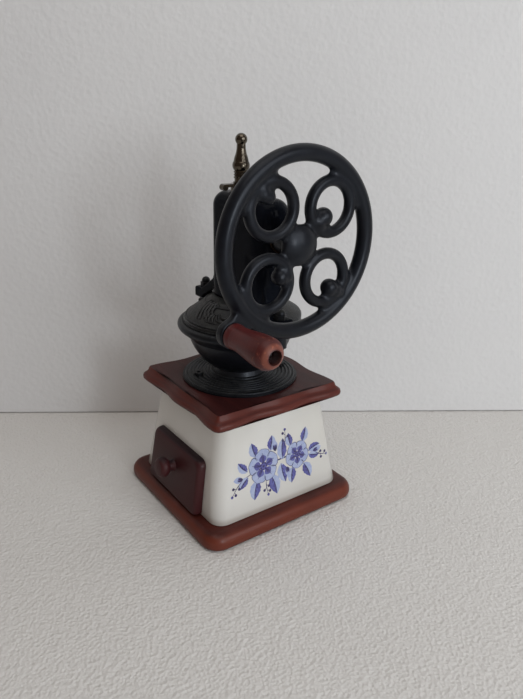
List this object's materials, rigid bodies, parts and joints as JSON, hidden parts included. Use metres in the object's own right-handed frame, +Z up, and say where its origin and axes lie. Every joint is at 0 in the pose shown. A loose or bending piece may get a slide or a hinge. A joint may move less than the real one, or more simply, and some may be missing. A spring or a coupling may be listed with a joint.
{
  "type": "coffee_grinder",
  "caption": "Manual coffee grinder with a flared ceramic body, a drawer, a cast bowl, a gear tower and a scroll-spoked hand wheel.",
  "frame": {"origin": "centre of the base board's underside, on the table", "axes": "+Z up, -Y out of the drawer, +X along the wheel shaft towards the hand wheel"},
  "size_m": [0.2015, 0.1576, 0.3053],
  "materials": {
    "dark_wood": "stained and waxed",
    "drawer_wood": "dark stain, satin",
    "plain_wood": "plain",
    "grip_wood": "red lacquer",
    "white_ceramic": "smooth soft white glaze",
    "black_iron": "black enamel",
    "black_paint": "gloss black",
    "burr_iron": "as cast",
    "steel": "turned",
    "brass": "aged",
    "bronze": "plain bearing"
  },
  "bodies": {
    "frame": {"base_board": "dark_wood", "ceramic_body": "white_ceramic", "top_board": "dark_wood", "tie_rods": "steel", "drawer_runners": "plain_wood", "hopper_bowl": "black_iron", "flange_screws": "black_iron", "outer_burr": "burr_iron", "burr_screws": "steel", "bearing_bridge": "black_iron", "bridge_screws": "steel", "spindle_bush": "bronze", "shaft_bush": "bronze", "thrust_washer": "brass", "lid": "black_iron", "gear_tower": "black_paint", "tower_studs": "steel", "cap_nuts": "black_paint", "spindle_spring": "steel"},
    "drawer": {"drawer_front": "drawer_wood", "drawer_box": "plain_wood", "drawer_knob": "drawer_wood", "knob_screw": "steel"},
    "door": {"lid_door": "black_iron", "door_knob": "brass", "door_screw": "steel"},
    "carrier": {"thrust_ball": "steel"},
    "adjuster": {"adjusting_screw": "brass"},
    "locker": {"lock_nut": "brass"},
    "spindle_set": {"spindle": "steel", "spindle_gear": "burr_iron", "gear_pin": "steel", "inner_burr": "burr_iron", "burr_nut": "steel"},
    "wheel_set": {"wheel_shaft": "steel", "drive_gear": "burr_iron", "wheel": "black_paint", "hub_cap": "black_paint", "crank_pin": "steel"},
    "grip_set": {"grip": "grip_wood"}
  },
  "joints": [
    {"name": "wheel_turn", "type": "hinge", "parent": "frame", "child": "wheel_set", "pos_m": [0.03, 0, 0.2347], "axis": [1, 0, 0], "continuous": true},
    {"name": "grip_spin", "type": "hinge", "parent": "wheel_set", "child": "grip_set", "pos_m": [0.0735, -0.05861, 0.18099], "axis": [1, 0, 0], "continuous": true},
    {"name": "burr_gap", "type": "slide", "parent": "frame", "child": "carrier", "axis": [0, 0, 1], "range_m": [-0.0015, 0], "deforming": ["spindle_spring"]},
    {"name": "screw_turn", "type": "hinge", "parent": "carrier", "child": "adjuster", "pos_m": [0, 0, 0.28], "axis": [0, 0, 1], "range_deg": [-270, 0]},
    {"name": "spindle_turn", "type": "hinge", "parent": "carrier", "child": "spindle_set", "pos_m": [0, 0, 0.19], "axis": [0, 0, 1], "continuous": true},
    {"name": "lock_nut_turn", "type": "hinge", "parent": "frame", "child": "locker", "pos_m": [0, 0, 0.2655], "axis": [0, 0, 1], "range_deg": [0, 90]},
    {"name": "drawer_slide", "type": "slide", "parent": "frame", "child": "drawer", "axis": [0, -1, 0], "range_m": [0, 0.06]},
    {"name": "door_turn", "type": "hinge", "parent": "frame", "child": "door", "pos_m": [0, 0, 0.172], "axis": [0, 0, 1], "range_deg": [0, 64]}
  ],
  "couplings": [
    {"joint": "spindle_turn", "follows": "wheel_turn", "ratio": 1.3333},
    {"joint": "screw_turn", "follows": "burr_gap", "rad_per_m": 3141.6}
  ]
}
